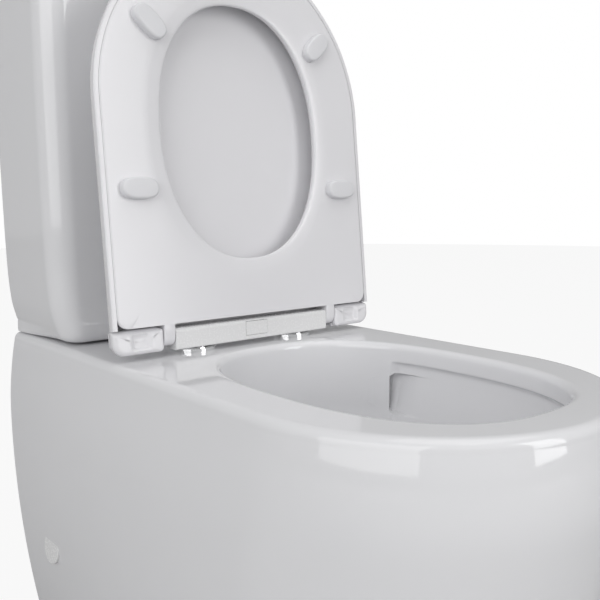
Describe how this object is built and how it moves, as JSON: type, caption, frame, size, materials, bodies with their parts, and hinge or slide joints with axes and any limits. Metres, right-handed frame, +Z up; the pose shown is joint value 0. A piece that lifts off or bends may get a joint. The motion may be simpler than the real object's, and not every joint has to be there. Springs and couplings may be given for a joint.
{
  "type": "close coupled toilet",
  "caption": "Skirted back-to-wall toilet pan with a rimless bowl, a coupled cistern with a lift-off lid and dual flush, and a raised soft-close seat.",
  "frame": {"origin": "the middle of the footprint on the floor", "axes": "+Z up, +Y towards the wall behind the toilet, -Y the front, +X to the right of a person facing the wall"},
  "size_m": [0.38, 0.68, 0.853],
  "materials": {
    "pan_china": "white vitreous china with a clear gloss glaze",
    "tank_china": "white vitreous china with a clear gloss glaze",
    "seat_plastic": "white moulded thermoset with a soft gloss",
    "pad_plastic": "white soft plastic pads",
    "hinge_plastic": "white moulded plastic, satin gloss",
    "chrome": "bright chrome plate",
    "steel": "stainless steel",
    "valve_plastic": "white moulded plastic",
    "valve_grey": "grey moulded plastic",
    "black_rubber": "black rubber",
    "brass": "plain brass",
    "zinc_steel": "zinc plated steel",
    "damper_plastic": "dark damper barrel"
  },
  "bodies": {
    "root": {"pan": "pan_china", "cistern_tank": "tank_china", "flush_valve_base": "valve_plastic", "flush_valve_frame": "valve_plastic", "overflow_tube": "valve_plastic", "flush_valve_nut": "valve_plastic", "coupling_washer": "black_rubber", "coupling_plate": "zinc_steel", "coupling_bolts": "brass", "coupling_rubbers": "black_rubber", "coupling_wing_nuts": "brass", "fill_valve_body": "valve_plastic", "fill_valve_cap": "valve_grey", "fill_valve_washer": "black_rubber", "fill_valve_nut": "valve_plastic", "hinge_discs": "chrome", "hinge_bolts": "steel", "hinge_pillars": "steel", "hinge_bolt_washers": "black_rubber", "hinge_bolt_nuts": "valve_plastic", "floor_brackets": "zinc_steel", "side_fixing_screws": "steel", "side_fixing_caps": "hinge_plastic"},
    "tank_lid": {"cistern_lid": "tank_china", "flush_bezel": "chrome", "bezel_back_nut": "valve_plastic"},
    "full_button": {"full_flush_button": "chrome"},
    "half_button": {"half_flush_button": "chrome"},
    "plunger": {"flush_plunger": "valve_grey", "flush_seal": "black_rubber"},
    "half_rod": {"half_flush_rod": "valve_grey"},
    "float": {"float_cup": "valve_plastic"},
    "arm": {"float_arm": "valve_grey"},
    "seat_mount": {"hinge_bar": "hinge_plastic", "hinge_pins": "steel", "seat_dampers": "damper_plastic", "release_latches": "steel"},
    "release": {"release_button": "hinge_plastic"},
    "lid": {"seat_lid": "seat_plastic", "lid_bumpers": "pad_plastic"},
    "ring": {"seat_ring": "seat_plastic", "ring_bumpers": "pad_plastic"}
  },
  "joints": [
    {"name": "tank_lid_lift", "type": "slide", "parent": "root", "child": "tank_lid", "axis": [0, 0, 1], "range_m": [0, 0.1]},
    {"name": "full_flush_press", "type": "slide", "parent": "tank_lid", "child": "full_button", "axis": [0, 0, -1], "range_m": [0, 0.006], "stiffness_N_per_m": 300, "springref_m": -0.004},
    {"name": "half_flush_press", "type": "slide", "parent": "tank_lid", "child": "half_button", "axis": [0, 0, -1], "range_m": [0, 0.006], "stiffness_N_per_m": 300, "springref_m": -0.004},
    {"name": "plunger_lift", "type": "slide", "parent": "root", "child": "plunger", "axis": [0, 0, 1], "range_m": [0, 0.018]},
    {"name": "half_rod_push", "type": "slide", "parent": "root", "child": "half_rod", "axis": [0, 0, -1], "range_m": [0, 0.006]},
    {"name": "float_rise", "type": "slide", "parent": "root", "child": "float", "axis": [0, 0, 1], "range_m": [0, 0.012]},
    {"name": "float_arm_turn", "type": "hinge", "parent": "root", "child": "arm", "pos_m": [-0.0885, 0.2649, 0.703], "axis": [0, 1, 0], "range_deg": [0, 50]},
    {"name": "seat_lift_off", "type": "slide", "parent": "root", "child": "seat_mount", "axis": [0, 0, 1], "range_m": [0, 0.03]},
    {"name": "release_press", "type": "slide", "parent": "seat_mount", "child": "release", "axis": [0, 1, 0], "range_m": [0, 0.003], "stiffness_N_per_m": 200, "springref_m": -0.002},
    {"name": "lid_hinge", "type": "hinge", "parent": "seat_mount", "child": "lid", "pos_m": [0, 0.09, 0.421], "axis": [-1, 0, 0], "range_deg": [-95.7, 0]},
    {"name": "ring_hinge", "type": "hinge", "parent": "lid", "child": "ring", "pos_m": [0, 0.09, 0.421], "axis": [1, 0, 0], "range_deg": [0, 95.7]}
  ],
  "couplings": [
    {"joint": "plunger_lift", "follows": "full_flush_press", "ratio": 3},
    {"joint": "half_rod_push", "follows": "half_flush_press", "ratio": 1},
    {"joint": "float_arm_turn", "follows": "float_rise", "rad_per_m": 71.7}
  ]
}
